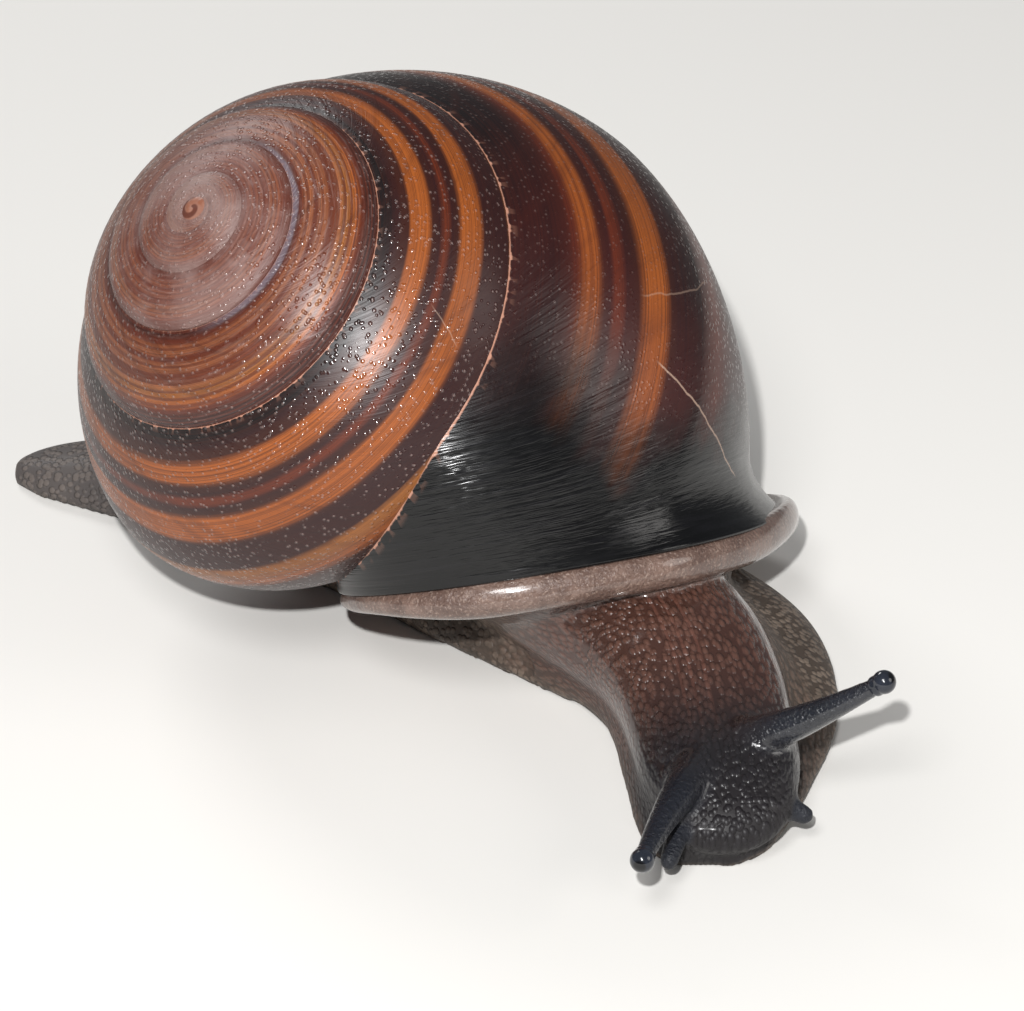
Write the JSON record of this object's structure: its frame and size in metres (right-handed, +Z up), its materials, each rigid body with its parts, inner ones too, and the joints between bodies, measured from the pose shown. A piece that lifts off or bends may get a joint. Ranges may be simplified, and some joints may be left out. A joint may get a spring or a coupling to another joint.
{
  "type": "banded land snail model",
  "caption": "Life-size still model of a banded land snail crawling, globose spiral shell on a long foot, head low with two pairs of feelers out.",
  "frame": {"origin": "a point of the flat sole, under the shell and near the middle of the foot", "axes": "+Z up from the sole, the head towards -Y and the tail towards +Y, the animal's left side towards +X"},
  "size_m": [0.0325, 0.0563, 0.0288],
  "materials": {
    "shell": "glossy shell banded orange-brown and dark purple-brown along the whorls, finely granulated, paler and worn at the apex",
    "shell_lip": "black glossy lip with growth lines",
    "mantle": "moist taupe skin with fine pale speckles",
    "flesh": "moist brown skin with pebble-like tubercles, darker towards the head",
    "feeler": "moist blue-black granular skin",
    "eye": "glossy dark bulb"
  },
  "bodies": {
    "root": {"shell_spire": "shell", "shell_body_whorl": "shell", "shell_lip": "shell_lip", "mantle_collar": "mantle", "trunk": "flesh", "neck": "flesh", "head": "flesh", "foot_front": "flesh", "foot_middle": "flesh", "foot_tail": "flesh", "tentacle_upper_left": "feeler", "tentacle_upper_right": "feeler", "tentacle_lower_left": "feeler", "tentacle_lower_right": "feeler", "eye_left": "eye", "eye_right": "eye"}
  },
  "joints": []
}
